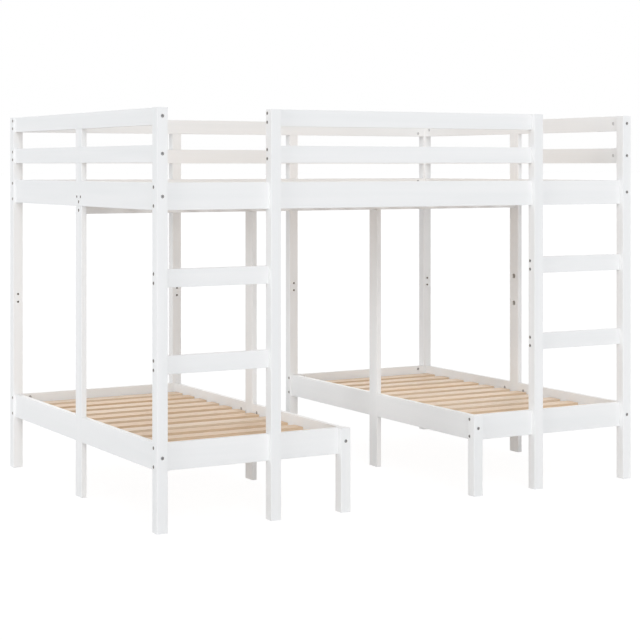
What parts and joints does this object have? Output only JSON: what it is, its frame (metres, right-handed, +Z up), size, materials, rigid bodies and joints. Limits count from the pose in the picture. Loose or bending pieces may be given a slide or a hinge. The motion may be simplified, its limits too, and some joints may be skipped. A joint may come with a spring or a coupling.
{
  "type": "triple bunk bed",
  "caption": "Bunk bed of white painted pine: a wide guarded deck of pine slats over narrow low beds that stand apart, with ladders built into its front frame.",
  "frame": {"origin": "on the floor under the middle of the bed", "axes": "+X to the right along the front, +Y from the front to the back, +Z up"},
  "size_m": [2.06, 1.48, 1.444],
  "materials": {
    "white_pine": "satin white paint on planed pine",
    "natural_pine": "planed, untreated",
    "zinc_steel": "zinc plated",
    "beech": "turned, untreated"
  },
  "bodies": {
    "root": {"barrel_nuts": "zinc_steel", "beam_dowels": "beech", "deck_back_ledger": "white_pine", "deck_back_rail": "white_pine", "deck_front_ledger": "white_pine", "deck_front_rail": "white_pine", "deck_slats": "natural_pine", "lap_screws": "zinc_steel", "left_back_post": "white_pine", "left_deck_side_rail": "white_pine", "left_front_post": "white_pine", "left_inner_back_post": "white_pine", "left_inner_mid_post": "white_pine", "left_ladder_post": "white_pine", "left_low_guard_side_rail": "white_pine", "left_lower_back_rail": "white_pine", "left_lower_front_rail": "white_pine", "left_lower_inner_back_rail": "white_pine", "left_lower_inner_front_rail": "white_pine", "left_lower_inner_ledger": "white_pine", "left_lower_outer_back_rail": "white_pine", "left_lower_outer_front_rail": "white_pine", "left_lower_outer_ledger": "white_pine", "left_lower_rung": "white_pine", "left_lower_slats": "natural_pine", "left_mid_post": "white_pine", "left_short_post": "white_pine", "left_top_guard_side_rail": "white_pine", "left_upper_rung": "white_pine", "low_guard_back_rail": "white_pine", "low_guard_front_rail": "white_pine", "mid_beam": "white_pine", "mid_post_rods": "zinc_steel", "post_bolts": "zinc_steel", "right_back_post": "white_pine", "right_deck_side_rail": "white_pine", "right_front_post": "white_pine", "right_inner_back_post": "white_pine", "right_inner_mid_post": "white_pine", "right_ladder_post": "white_pine", "right_low_guard_side_rail": "white_pine", "right_lower_back_rail": "white_pine", "right_lower_front_rail": "white_pine", "right_lower_inner_back_rail": "white_pine", "right_lower_inner_front_rail": "white_pine", "right_lower_inner_ledger": "white_pine", "right_lower_outer_back_rail": "white_pine", "right_lower_outer_front_rail": "white_pine", "right_lower_outer_ledger": "white_pine", "right_lower_rung": "white_pine", "right_lower_slats": "natural_pine", "right_mid_post": "white_pine", "right_short_post": "white_pine", "right_top_guard_side_rail": "white_pine", "right_upper_rung": "white_pine", "top_guard_back_rail": "white_pine", "top_guard_front_rail": "white_pine"}
  },
  "joints": []
}
